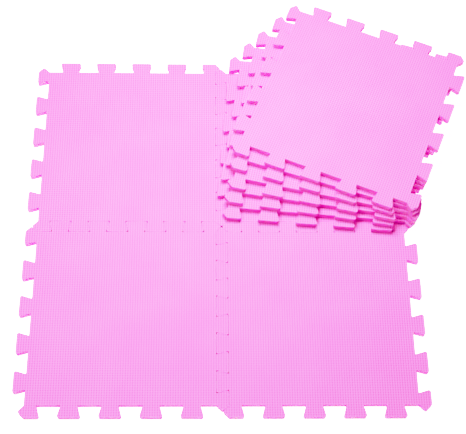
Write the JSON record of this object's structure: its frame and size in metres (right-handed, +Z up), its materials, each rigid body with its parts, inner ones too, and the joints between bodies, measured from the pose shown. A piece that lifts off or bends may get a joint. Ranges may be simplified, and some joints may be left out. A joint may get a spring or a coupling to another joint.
{
  "type": "blocking mats",
  "caption": "Square pink foam mats with dovetail edges for pinning knitting out flat: some joined edge to edge on the floor, the rest in a loose fanned stack.",
  "frame": {"origin": "on the floor, under the middle of the whole group", "axes": "+X to the right, +Y to the back, where the fanned stack is, +Z up"},
  "size_m": [0.7158, 0.7058, 0.06],
  "materials": {
    "foam": "matte, with a fine embossed weave on both faces"
  },
  "bodies": {
    "mat_back_left": {"mat_back_left": "foam"},
    "mat_front_left": {"mat_front_left": "foam"},
    "mat_front_right": {"mat_front_right": "foam"},
    "mat_back_right": {"mat_back_right": "foam"},
    "stack_mat_1": {"stack_mat_1": "foam"},
    "stack_mat_2": {"stack_mat_2": "foam"},
    "stack_mat_3": {"stack_mat_3": "foam"},
    "stack_mat_4": {"stack_mat_4": "foam"},
    "stack_mat_5": {"stack_mat_5": "foam"}
  },
  "joints": [
    {"name": "lift_front_left", "type": "slide", "parent": "mat_back_left", "child": "mat_front_left", "axis": [0, 0, 1], "range_m": [0, 0.03]},
    {"name": "lift_front_right", "type": "slide", "parent": "mat_back_left", "child": "mat_front_right", "axis": [0, 0, 1], "range_m": [0, 0.03]},
    {"name": "lift_back_right", "type": "slide", "parent": "mat_front_right", "child": "mat_back_right", "axis": [0, 0, 1], "range_m": [0, 0.03]},
    {"name": "lift_stack_1", "type": "slide", "parent": "mat_back_right", "child": "stack_mat_1", "axis": [0, 0, 1], "range_m": [0, 0.03]},
    {"name": "lift_stack_2", "type": "slide", "parent": "stack_mat_1", "child": "stack_mat_2", "axis": [0, 0, 1], "range_m": [0, 0.03]},
    {"name": "lift_stack_3", "type": "slide", "parent": "stack_mat_2", "child": "stack_mat_3", "axis": [0, 0, 1], "range_m": [0, 0.03]},
    {"name": "lift_stack_4", "type": "slide", "parent": "stack_mat_3", "child": "stack_mat_4", "axis": [0, 0, 1], "range_m": [0, 0.03]},
    {"name": "lift_stack_5", "type": "slide", "parent": "stack_mat_4", "child": "stack_mat_5", "axis": [0, 0, 1], "range_m": [0, 0.03]}
  ]
}
